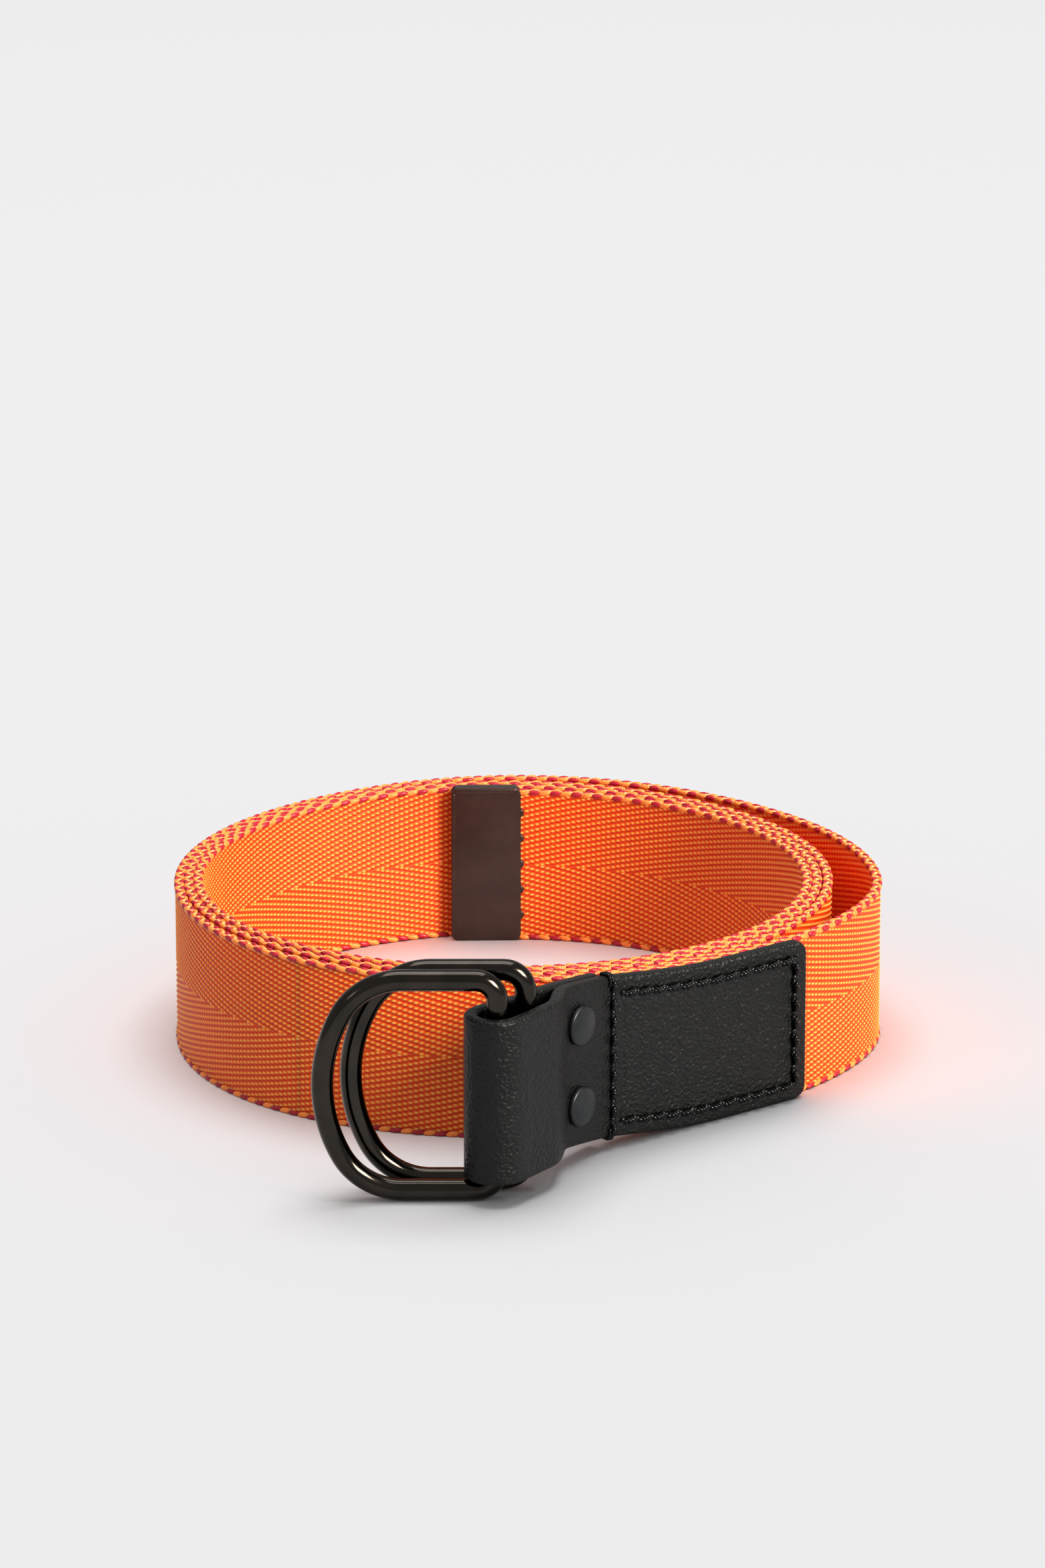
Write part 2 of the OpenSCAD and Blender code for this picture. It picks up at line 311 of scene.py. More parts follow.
@dataclass(frozen=True)
class HerringboneWeave:
    """Solution-dyed polyester webbing, woven in a 2/2 twill that turns round on a spine at mid-width.

    Each warp float passes over two picks and steps up by a quarter of the rib at each pick, so the eye sees
    lens-shaped grains in slanting ribs. Their colour carries painted light: a pale painted highlight on their
    crowns, and deep red in the pits, partly the red binder and partly painted shade.
    """

    pick: float = 1.08
    rib: float = 1.1
    height: float = 0.34
    taper: float = 3.0
    crown: float = 1.5
    # filament bundles to a millimetre, along and up the webbing; real ones are too fine to show
    fibres: Triple = (0.9, 6.0, 1.0)
    uneven: float = 0.22
    bump: float = 0.2
    # colours from pit to crown: deep red in the pits, partly the red binder and partly painted shade, then
    # the orange dye, and at the top a cream painted highlight on the crowns
    dye_and_painted_light: Stops = ((0.0, "c82806"), (0.15, "ea460a"), (0.4, "f86a16"), (0.66, "ff8a2e"), (0.92, "ffba68"))
    sheen: str = "ffe2b4"
    # how far red, green and blue light spreads inside the band, in millimetres
    glow: Triple = (4.0, 0.5, 0.15)

    def relief(self, along: np.ndarray, up: np.ndarray) -> np.ndarray:
        """Height of the weave's surface, from 0 in a pit to 1 on a grain's crown.

        Args:
            along: Millimetres along the webbing.
            up: Millimetres up its width.

        Returns:
            The height at each point.
        """
        picks = along / self.pick
        column = np.floor(picks + 1e-6)
        part = picks - column
        rise = np.abs(up - WEB_HEIGHT / 2) / self.rib
        grains = []
        for k in (0, 1):
            across = rise - (column + k) / 4
            across = across - np.floor(across + 0.5)
            narrow = (1 - (part - k) ** 2) ** self.taper
            grains.append(narrow * (0.5 + 0.5 * np.cos(2 * np.pi * across)))
        return np.maximum(*grains)

    def pattern(self, tree: Tree, flat: Node) -> Node:
        """Builds the same height in a node tree.

        Args:
            tree: The material's node tree.
            flat: Millimetres along and up the webbing.

        Returns:
            The height, from 0 to 1.
        """
        place = add(tree, "SeparateXYZ", [flat])
        picks = add(tree, "Math", [place.outputs[0], self.pick], operation="DIVIDE")
        part = add(tree, "Math", [picks], operation="FRACT")
        column = add(tree, "Math", [picks, part], operation="SUBTRACT")
        above = add(tree, "Math", [place.outputs[1], WEB_HEIGHT / 2], operation="SUBTRACT")
        off_spine = add(tree, "Math", [above], operation="ABSOLUTE")
        rise = add(tree, "Math", [off_spine, self.rib], operation="DIVIDE")
        grains = []
        for k in (0, 1):
            quarters = add(tree, "Math", [column, k], operation="ADD")
            step = add(tree, "Math", [quarters, 4.0], operation="DIVIDE")
            offset = add(tree, "Math", [rise, step], operation="SUBTRACT")
            nearest = add(tree, "Math", [offset], operation="ROUND")
            across = add(tree, "Math", [offset, nearest], operation="SUBTRACT")
            angle = add(tree, "Math", [across, 2 * math.pi], operation="MULTIPLY")
            wave = add(tree, "Math", [angle], operation="COSINE")
            crown = add(tree, "Math", [wave, 0.5, 0.5], operation="MULTIPLY_ADD")
            beyond = add(tree, "Math", [part, float(k)], operation="SUBTRACT")
            square = add(tree, "Math", [beyond, beyond], operation="MULTIPLY")
            level = add(tree, "Math", [1.0, square], operation="SUBTRACT")
            narrow = add(tree, "Math", [level, self.taper], operation="POWER")
            grains.append(add(tree, "Math", [narrow, crown], operation="MULTIPLY"))
        return add(tree, "Math", grains, operation="MAXIMUM")

    def material(self) -> bpy.types.Material:
        """Dresses the band: saturated, slightly glossy filaments, with the pits painted redder for the light
        that bounces in them and a painted highlight on the crowns.

        Returns:
            The material.
        """
        made, tree, shader = new_material("woven orange polyester")
        flat = add(tree, "UVMap", uv_map="weave")
        grain = self.pattern(tree, flat)
        spread = add(tree, "Mapping", {"Vector": flat, "Scale": self.fibres})
        fibres = add(tree, "TexNoise", {"Vector": spread, "Scale": 1.0, "Detail": 2.0})
        centred = add(tree, "Math", [fibres, 0.5], operation="SUBTRACT")
        uneven = add(tree, "Math", [centred, self.uneven], operation="MULTIPLY")
        crowned = add(tree, "Math", [grain, self.crown], operation="POWER")
        tone = add(tree, "Math", [crowned, uneven], operation="ADD")
        join(tree, shader, {
            # the base colour holds painted light: painted shade in the pits and a painted highlight on each
            # crown
            "Base Color": add(tree, "ValToRGB", [tone], self.dye_and_painted_light),
            "Normal": add(tree, "Bump", {"Strength": 0.8, "Distance": self.bump * MM, "Height": tone}),
            "Roughness": 0.5,
            "Specular IOR Level": 0.55,
            "Specular Tint": linear(self.sheen),
            # light goes through the band and comes out deep red on its shaded side
            "Subsurface Weight": 0.5,
            "Subsurface Radius": self.glow,
            "Subsurface Scale": MM,
        })
        return made


@dataclass(frozen=True)
class DyedYarn:
    """Bundled filament yarn, such as a selvedge float: soft gloss, with fine lines along the twist."""

    name: str
    dark: str
    light: str
    roughness: float = 0.42
    grain: float = 0.35
    shine: float = 0.4
    bump: float = 0.08

    def material(self) -> bpy.types.Material:
        """Dresses the yarn, with a little unevenness of dye.

        Returns:
            Dresses the yarn, with its colour a little uneven.
        """
        made, tree, shader = new_material(self.name)
        place = add(tree, "TexCoord").outputs["Object"]
        dye_and_painted_light = add(tree, "TexNoise", {"Vector": place, "Scale": 1 / (self.grain * MM), "Detail": 3.0})
        join(tree, shader, {
            "Base Color": add(tree, "ValToRGB", [dye_and_painted_light], ((0.3, self.dark), (0.68, self.light))),
            "Normal": add(tree, "Bump", {"Strength": 0.5, "Distance": self.bump * MM, "Height": dye_and_painted_light}),
            "Roughness": self.roughness,
            "Specular IOR Level": self.shine,
        })
        return made


@dataclass(frozen=True)
class BlackLeather:
    """Smooth black cowhide: fine pores, faint folds, creases where it bends and a groove for the sewing."""

    face: str = "050606"
    worn: str = "0b0c0c"
    pore: float = 0.62
    fold: float = 2.4
    crease_from: float = 58.0
    crease_to: float = 75.0
    # creases to a millimetre, along and up the tab
    crease_lines: Triple = (1.1, 0.16, 1.0)
    crease_depth: float = 1.6
    patch_l: float = 49.0
    margin: float = 3.3
    groove_half: float = 0.8
    groove_depth: float = 0.8
    gloss: tuple[float, float] = (0.34, 0.48)
    bump: float = 0.26

    def creases(self, tree: Tree, flat: Node, along: bpy.types.NodeSocket) -> Node:
        """Builds the creases that run up the tab where it is pulled in from the fold to the rivets.

        Args:
            tree: The material's node tree.
            flat: Millimetres along and up the tab.
            along: Millimetres along it.

        Returns:
            The creases' height, in parts of the bump's distance.
        """
        lines = add(tree, "Mapping", {"Vector": flat, "Scale": self.crease_lines})
        creases = add(tree, "TexNoise", {"Vector": lines, "Scale": 1.0, "Detail": 3.0})
        middle = (self.crease_from + self.crease_to) / 2
        reach = (self.crease_to - self.crease_from) / 2
        away = add(tree, "Math", [along, middle], operation="SUBTRACT")
        off = add(tree, "Math", [away], operation="ABSOLUTE")
        near = add(tree, "MapRange", {"Value": off, "From Min": reach, "From Max": reach * 0.5})
        strength = add(tree, "Math", [creases, near], operation="MULTIPLY")
        return add(tree, "Math", [strength, self.crease_depth], operation="MULTIPLY")

    def groove(self, tree: Tree, along: bpy.types.NodeSocket, up: bpy.types.NodeSocket) -> Node:
        """Builds the groove that the sewing pulls into the leather along its line.

        Args:
            tree: The material's node tree.
            along: Millimetres along the tab.
            up: Millimetres up it.

        Returns:
            The groove's height, negative in it and 0 beside it.
        """
        beyond = []
        for place, middle in ((along, self.patch_l / 2), (up, WEB_HEIGHT / 2)):
            away = add(tree, "Math", [place, middle], operation="SUBTRACT")
            off = add(tree, "Math", [away], operation="ABSOLUTE")
            beyond.append(add(tree, "Math", [off, middle - self.margin], operation="SUBTRACT"))
        outside = add(tree, "Math", beyond, operation="MAXIMUM")
        beside = add(tree, "Math", [outside], operation="ABSOLUTE")
        bed = {"Value": beside, "From Max": self.groove_half, "To Min": -self.groove_depth, "To Max": 0.0}
        return add(tree, "MapRange", bed, interpolation_type="SMOOTHSTEP")

    def material(self) -> bpy.types.Material:
        """Dresses the hide: its pores and folds break up a soft gloss.

        Returns:
            The material.
        """
        made, tree, shader = new_material("smooth black leather")
        place = add(tree, "TexCoord").outputs["Object"]
        pore = {"Vector": place, "Scale": 1 / (self.pore * MM)}
        pores = add(tree, "TexVoronoi", pore, feature="SMOOTH_F1")
        fold = {"Vector": place, "Scale": 1 / (self.fold * MM), "Detail": 6.0, "Roughness": 0.6}
        folds = add(tree, "TexNoise", fold)
        flat = add(tree, "UVMap", uv_map="weave")
        along, up, _ = add(tree, "SeparateXYZ", [flat]).outputs
        height = add(tree, "Math", [pores, folds], operation="ADD")
        height = add(tree, "Math", [height, self.creases(tree, flat, along)], operation="ADD")
        height = add(tree, "Math", [height, self.groove(tree, along, up)], operation="ADD")
        dull = {"Value": folds, "To Min": self.gloss[0], "To Max": self.gloss[1]}
        join(tree, shader, {
            "Base Color": add(tree, "ValToRGB", [folds], ((0.35, self.face), (0.75, self.worn))),
            "Normal": add(tree, "Bump", {"Strength": 1.0, "Distance": self.bump * MM, "Height": height}),
            "Roughness": add(tree, "MapRange", dull),
            "Specular IOR Level": 0.24,
        })
        return made


@dataclass(frozen=True)
class PlatedMetal:
    """Plated metal: a mirror or satin coat with small unevenness from the wire or sheet below it."""

    name: str
    colour: str
    worn: str
    roughness: float
    spread: float
    metallic: float = 1.0
    grain: float = 3.0
    bump: float = 0.02

    def material(self) -> bpy.types.Material:
        """Dresses the metal: a coat whose gloss varies a little from place to place.

        Returns:
            The material.
        """
        made, tree, shader = new_material(self.name)
        place = add(tree, "TexCoord").outputs["Object"]
        cloud = add(tree, "TexNoise", {"Vector": place, "Scale": 1 / (self.grain * MM), "Detail": 4.0})
        low, high = self.roughness - self.spread, self.roughness + self.spread
        gloss = {"Value": cloud, "From Min": 0.3, "From Max": 0.7, "To Min": low, "To Max": high}
        join(tree, shader, {
            "Base Color": add(tree, "ValToRGB", [cloud], ((0.35, self.colour), (0.8, self.worn))),
            "Normal": add(tree, "Bump", {"Strength": 0.4, "Distance": self.bump * MM, "Height": cloud}),
            "Roughness": add(tree, "MapRange", gloss),
            "Metallic": self.metallic,
        })
        return made


# ---------------------------------------------------------------- the route that webbing and tab share


@dataclass(frozen=True)
class Route:
    """A level line seen from above, with a rise off the floor, at even steps along its length."""

    points: np.ndarray
    step: float
    rise: np.ndarray

    @property
    def length(self) -> float:
        """The line's whole length."""
        return self.step * (len(self.points) - 1)

    def at(self, along: np.ndarray | float, out: np.ndarray | float, up: np.ndarray | float) -> np.ndarray:
        """Places beside the line.

        Args:
            along: Distance along the line.
            out: Distance to its left, which is outwards on the coil.
            up: Height above the lower edge.

        Returns:
            One point for each, in the row frame.
        """
        along = np.asarray(along, float)
        know = np.arange(len(self.points)) * self.step
        heading = np.gradient(self.points, self.step, axis=0)
        heading /= np.linalg.norm(heading, axis=1)[:, None]
        x, y = (np.interp(along, know, self.points[:, i]) for i in (0, 1))
        hx, hy = (np.interp(along, know, heading[:, i]) for i in (0, 1))
        lift = np.interp(along, know, self.rise)
        return np.stack([x - hy * out, y + hx * out, lift + up], axis=-1)

    def frame_at(self, along: float, out: float, up: float) -> Matrix:
        """A place beside the line whose X runs along it, Y points out and Z points up.

        Args:
            along: Distance along the line.
            out: Distance to its left.
            up: Height above the lower edge.

        Returns:
            The place's matrix.
        """
        near = 0.2
        here = self.at(along, out, up)
        ahead = Vector(self.at(along + near, out, up) - self.at(along - near, out, up)).normalized()
        side = Vector((-ahead.y, ahead.x, 0)).normalized()
        return basis(ahead, side, ahead.cross(side), here)


def even_route(
    line: np.ndarray, step: float, softness: float, rise: Callable[[np.ndarray, float], np.ndarray]
) -> Route:
    """Makes a smooth, evenly stepped route from a line of points.

    Args:
        line: The line's points in the coil's own frame.
        step: Distance between the route's points.
        softness: How far corners are rounded.
        rise: Given the distances along the line and its length, gives the height of the lower edge.

    Returns:
        The route in the row frame.
    """
    gone = np.concatenate([[0], np.cumsum(np.linalg.norm(np.diff(line, axis=0), axis=1))])
    count = round(gone[-1] / step)
    even = np.linspace(0, gone[-1], count + 1)
    points = np.stack([np.interp(even, gone, line[:, i]) for i in (0, 1)], axis=1)
    reach = round(3 * softness / step)
    weight = np.exp(-0.5 * (np.arange(-reach, reach + 1) * step / softness) ** 2)
    weight /= weight.sum()
    before = 2 * points[0] - points[reach:0:-1]
    after = 2 * points[-1] - points[-2 : -2 - reach : -1]
    padded = np.concatenate([before, points, after])
    points = np.stack([np.convolve(padded[:, i], weight, "valid") for i in (0, 1)], axis=1)
    return Route(points + COIL_AT, gone[-1] / count, rise(even, gone[-1]))


@dataclass
class Layout:
    """Where the webbing and the leather tab run, worked out as the CAD works them out."""

    hollow_at: tuple[float, float] = (1.1, 1.1)
    hollow_a: float = 59.2
    hollow_b: float = 56.7
    selvedge_half: float = 0.8
    web_t: float = 1.5
    # how far the middle line lies outside the innermost turn, at every eighth of a turn
    turn_out: tuple[float, ...] = (
        0, 0, 0, 0, 0, 0, 0, 0.7,
        3.1, 2.4, 1.9, 2.2, 2.9, 2.7, 1.8, 2.7,
        5.6, 4.6, 4.0, 4.6, 6.2, 5.9, 3.6, 4.6,
        9.2, 10.2, 13.6,
    )  # fmt: skip
    tip_length: float = 15.6
    leather_t: float = 2.6
    web_gap: float = 0.02
    patch_l: float = 49.0
    patch_yaw: float = 38.5
    tail_yaw: float = 53.0
    seam_front: tuple[float, float] = (21.4, -70.2)
    seam_margin: float = 0.8
    tab_lift: float = 4.5
    lift_from: float = 20.0
    lift_run: float = 54.0
    tip_turn: float = 5 / 360
    # how far the clip leans into the coil's hollow, clear of the next turn, as a slope
    clip_lean: float = 0.02
    # the loose loop leaves the coil by one lead and comes into the patch by another
    loose_lead: tuple[float, float] = (0.8, -14.0)
    loose_pull: float = 13.0
    loose_yaw: float = 46.0
    # the tail's fold, its front layer's rise and its back layer's, by distance from the seam and offset
    fold_at: tuple[float, float] = (34.4, 1.6)
    fold_r: float = 4.8
    clear: float = 0.03
    front_from: float = 12.6
    front_run: float = 11.6
    front_rise: float = 4.9
    front_end: tuple[tuple[float, float], ...] = ((27, 6.26), (30.5, 6.33))
    back_run: float = 10.8
    back_rise: float = 1.9
    back_end: float = 0.4

    def __post_init__(self) -> None:
        """Works out the patch's and the tail's directions and ends."""
        patch, tail = math.radians(self.patch_yaw), math.radians(self.tail_yaw)
        self.patch_dir = np.array([math.cos(patch), math.sin(patch)])
        self.patch_out = np.array([math.sin(patch), -math.cos(patch)])
        self.tail_dir = np.array([-math.cos(tail), -math.sin(tail)])
        self.tail_out = np.array([math.sin(tail), -math.cos(tail)])
        seam = np.array(self.seam_front)
        self.patch_back = seam - self.leather_t * self.patch_out
        web_seam = self.patch_back - (self.web_t / 2 + self.web_gap) * self.patch_out
        self.web_patch_end = web_seam + self.patch_l * self.patch_dir
        self.tail_base = seam - self.leather_t * (self.patch_out + self.tail_out) / 2
        self.clip_root = self.coil_point(np.array([self.tip_turn]))[0]
        away = np.array([-1, -self.clip_lean])
        self.clip_dir = away / np.linalg.norm(away)

    def coil_point(self, turn: np.ndarray) -> np.ndarray:
        """The middle line of the coil, which runs clockwise as seen from above.

        Args:
            turn: Turns gone from the back.

        Returns:
            One point for each, in the coil's own frame.
        """
        knots = np.array(self.turn_out)
        last = len(knots) - 1
        k = np.clip(np.floor(turn * 8).astype(int), 0, last - 1)
        t = turn * 8 - k
        a, b = knots[k], knots[k + 1]
        slope_a = (b - knots[np.maximum(k - 1, 0)]) / 2
        slope_b = (knots[np.minimum(k + 2, last)] - a) / 2
        out = (2 * t**3 - 3 * t**2 + 1) * a + (t**3 - 2 * t**2 + t) * slope_a
        out = out + (3 * t**2 - 2 * t**3) * b + (t**3 - t**2) * slope_b + self.selvedge_half
        angle = 2 * np.pi * turn
        x = self.hollow_at[0] + (self.hollow_a + out) * np.sin(angle)
        y = self.hollow_at[1] + (self.hollow_b + out) * np.cos(angle)
        return np.stack([x, y], axis=-1)

    def lift(self, gone: np.ndarray) -> np.ndarray:
        """Height of the lower edge, by the distance from the patch's free end."""
        return self.tab_lift * smooth((gone - self.lift_from) / self.lift_run)

    def webbing(self) -> Route:
        """Lays the webbing from the tip under the clip, round the coil and to the cross seam.

        Returns:
            The webbing's route.
        """
        loose_start = (len(self.turn_out) - 1) / 8
        tip = self.clip_root + self.tip_length * self.clip_dir
        coil = self.coil_point(np.arange(self.tip_turn, loose_start, 1 / 360))
        a = self.coil_point(np.array([loose_start]))[0]
        b = a + np.array(self.loose_lead)
        d = self.web_patch_end
        yaw = math.radians(self.loose_yaw)
        c = d + self.loose_pull * np.array([math.cos(yaw), math.sin(yaw)])
        t = np.linspace(0, 1, 60)[:, None]
        loose = (1 - t) ** 3 * a + 3 * (1 - t) ** 2 * t * b + 3 * (1 - t) * t**2 * c + t**3 * d
        covered = self.patch_l - self.seam_margin
        line = np.concatenate([[tip], coil, loose, [d - covered * self.patch_dir]])
        return even_route(
            line, step=0.5, softness=2.0, rise=lambda gone, whole: self.lift(gone - (whole - covered))
        )

    def tab(self) -> Route:
        """Lays the leather from the patch's free end, round the fold and back to the seam.

        Returns:
            The route of the leather's middle line.
        """
        mid = self.leather_t / 2 + self.clear
        x, y = self.fold_at
        half_turn = np.linspace(0, math.pi, 40)
        fold = np.stack([x + self.fold_r * np.sin(half_turn), y + self.fold_r * np.cos(half_turn)], axis=1)
        i = np.linspace(0, 1, 20)[:, None]
        front_out = mid + self.front_rise * smooth(i)
        front = np.concatenate([self.front_from + self.front_run * i, front_out], axis=1)
        back_out = y - self.fold_r + self.back_rise * smooth(i)
        back = np.concatenate([x - self.back_run * i, back_out], axis=1)
        tail = np.concatenate([[[2, mid]], front, self.front_end, fold, back, [[self.back_end, -mid]]])
        tail = self.tail_base + tail[:, :1] * self.tail_dir + tail[:, 1:] * self.tail_out
        end = self.patch_back + self.leather_t / 2 * self.patch_out + self.patch_l * self.patch_dir
        line = np.concatenate([[end], [end - self.patch_l * self.patch_dir], tail])
        return even_route(line, step=0.4, softness=0.9, rise=self.tab_rise)

    def tab_rise(self, gone: np.ndarray, whole: float) -> np.ndarray:
        """Height of the tab's lower edge: both layers of the tail rise alike, by distance from the seam.

        Args:
            gone: Distances from the patch's free end.
            whole: Length of the whole tab.

        Returns:
            The height at each distance.
        """
        return self.lift(self.patch_l + np.minimum(gone - self.patch_l, whole - gone))

    def on_tail(self, along: float, out: float) -> np.ndarray:
        """Places a point on the tail.

        Args:
            along: Its distance from the seam.
            out: Its offset to the front.

        Returns:
            The point in the row frame, seen from above.
        """
        return self.tail_base + along * self.tail_dir + out * self.tail_out + COIL_AT


# ---------------------------------------------------------------- the webbing


class Face(Enum):
    """How finely a face of the webbing is modelled, by whether it can be seen."""

    WOVEN = "woven"
    PLAIN = "plain"


@dataclass
class Webbing:
    """The woven band, in stretches that follow one another, and the yarns of its two selvedges."""

    layout: Layout
    weave: HerringboneWeave = HerringboneWeave()
    # each stretch's name, its inner face and its outer face, from the tip on
    stretches: tuple[tuple[str, Face, Face], ...] = (
        ("tip", Face.WOVEN, Face.PLAIN),
        ("first_turn", Face.WOVEN, Face.PLAIN),
        ("second_turn", Face.PLAIN, Face.PLAIN),
        ("third_turn", Face.PLAIN, Face.WOVEN),
        ("third_turn_back", Face.PLAIN, Face.WOVEN),
        ("fourth_turn", Face.PLAIN, Face.WOVEN),
        ("loose_loop", Face.WOVEN, Face.WOVEN),
        ("patch", Face.PLAIN, Face.PLAIN),
    )
    # the turns of the coil at which the first stretches end
    cut_turns: tuple[float, ...] = (0.5, 1.03, 2.17, 2.6, 3.0)
    woven_rows: int = 55
    plain_rows: int = 5
    core_half: float = 0.5
    plain_half: float = 0.66
    edge: float = 0.55
    edge_bulge: float = 0.15
    edge_half: float = 0.7
    float_pitch: float = 4.4
    float_size: Triple = (1.45, 0.5, 0.6)
    float_up: float = 31.42
    float_out: float = 0.52
    float_lean: float = 9.0
    float_turn: float = 7.0
    loop_pitch: float = 2.2
    loop_size: Triple = (0.56, 0.2, 0.26)
    loop_up: float = 31.66
    loop_lean: float = 65.0
    loop_ply: float = 0.22

    def distance_at(self, turn: float) -> float:
        """How far along the webbing a turn of the coil is."""
        line = self.layout.coil_point(np.arange(self.layout.tip_turn, turn, 1 / 720))
        return self.layout.tip_length + float(np.linalg.norm(np.diff(line, axis=0), axis=1).sum())

    def rows(self, face: Face) -> np.ndarray:
        """Heights of a face's rows of points, from the lower selvedge to the upper."""
        count = self.woven_rows if face is Face.WOVEN else self.plain_rows
        step = self.weave.rib / 4 * (self.woven_rows / count)
        return WEB_HEIGHT / 2 + step * np.arange(-count, count + 1)

    def stretch(self, route: Route, first: float, last: float, inner: Face, outer: Face) -> bpy.types.Mesh:
        """Builds one stretch of the band.

        Args:
            route: The webbing's whole route.
            first: Where it starts along the route.
            last: Where it ends.
            inner: How its inner face is modelled.
            outer: How its outer face is modelled.

        Returns:
            The closed mesh, with both faces' relief.
        """
        step = self.weave.pick / (4 if Face.WOVEN in (inner, outer) else 1)
        count = round((last - first) / step)
        along = first + step * np.arange(count + 1)
        up_in, up_out = self.rows(inner), self.rows(outer)[::-1]
        bulge = np.array([0, self.edge_bulge, 0])
        top, bottom = WEB_HEIGHT - self.edge + bulge, self.edge - bulge
        turn = self.edge_half * np.array([-1, 0, 1])
        up = np.concatenate([up_in, top, up_out, bottom, up_in[:1]])
        side = np.concatenate([-np.ones(len(up_in)), turn, np.ones(len(up_out)), -turn, [-1]])
        woven = np.concatenate([
            np.full(len(up_in), inner is Face.WOVEN),
            np.full(len(turn), False),
            np.full(len(up_out), outer is Face.WOVEN),
            np.full(len(turn), False),
            [inner is Face.WOVEN],
        ])

        def place(column: np.ndarray, row: np.ndarray) -> tuple[np.ndarray, np.ndarray]:
            """Places the grid's points on the band's two faces and round its edges.

            Args:
                column: Each point's column.
                row: Its row.

            Returns:
                The points, and their millimetres along and up the band.
            """
            s, y = along[column], up[row]
            grain = self.weave.relief(s, y) * self.weave.height
            half = np.where(woven[row], self.core_half + grain, self.plain_half)
            pattern = np.stack([s, y], axis=-1)
            return route.at(s, side[row] * half, y), pattern

        return bent_sheet(place, count + 1, len(up))

    def selvedge(self, route: Route, start: float, up_edge: bool) -> list[Matrix]:
        """Places one colour's floats along one edge, on both faces in turn.

        Args:
            route: The webbing's route.
            start: How far along the first float lies, in floats.
            up_edge: Whether it is the upper edge.

        Returns:
            One matrix for each float.
        """
        height = self.float_up if up_edge else WEB_HEIGHT - self.float_up
        lean = math.radians(self.float_lean if up_edge else -self.float_lean)
        places = []
        for i in range(int((route.length - 1) / self.float_pitch)):
            for side, offset in ((1, 0.0), (-1, 0.5)):
                along = (i + 0.25 + start + offset) * self.float_pitch
                if along > route.length - 0.5:
                    continue
                here = route.frame_at(along, side * self.float_out, height)
                turn = Matrix.Rotation(side * math.radians(self.float_turn), 4, "Z")
                places.append(here @ (Matrix.Rotation(-lean, 4, "Y") @ turn))
        return places

    def weft_loops(self, route: Route) -> list[Matrix]:
        """Places the weft's turns over both edges, leaning left and right in turn like a plait.

        Args:
            route: The webbing's route.

        Returns:
            One matrix for each ply of each turn.
        """
        places = []
        for up_edge in (True, False):
            height = self.loop_up if up_edge else WEB_HEIGHT - self.loop_up
            for i in range(1, int(route.length / self.loop_pitch)):
                lean = Matrix.Rotation(math.radians(self.loop_lean if i % 2 else -self.loop_lean), 4, "Z")
                for ply in (-self.loop_ply, self.loop_ply):
                    places.append(route.frame_at(i * self.loop_pitch + ply, 0, height) @ lean)
        return places

    def build(self) -> None:
        route = self.layout.webbing()
        loose = (len(self.layout.turn_out) - 1) / 8
        covered = route.length - self.layout.patch_l + 1
        cuts = [0.0] + [self.distance_at(turn) for turn in (*self.cut_turns, loose)] + [covered, route.length]
        picks = [round(cut / self.weave.pick) * self.weave.pick for cut in cuts]
        cloth = self.weave.material()
        for (name, inner, outer), first, last in zip(self.stretches, picks, picks[1:]):
            mesh = self.stretch(route, first, last, inner, outer)
            made = finished(f"webbing_{name}", mesh, cloth, "belt")
            if name == "tip":
                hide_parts("webbing")
        yarns = (
            ("selvedge_burgundy", 0.0, DyedYarn("burgundy polyester float", "8a0818", "bc1830")),
            ("selvedge_orange", 0.5, DyedYarn("orange polyester float", "f06a18", "ffa04c")),
        )
        for name, start, yarn in yarns:
            places = self.selvedge(route, start, True) + self.selvedge(route, start, False)
            finished(name, repeated(ball(self.float_size), places), yarn.material(), "belt")
        loops = repeated(ball(self.loop_size, 6, 4), self.weft_loops(route))
        yarn = DyedYarn("orange polyester weft", "f88a34", "ffc88a")
        finished("selvedge_weft_loops", loops, yarn.material(), "belt")


# ---------------------------------------------------------------- the leather tab and its sewing


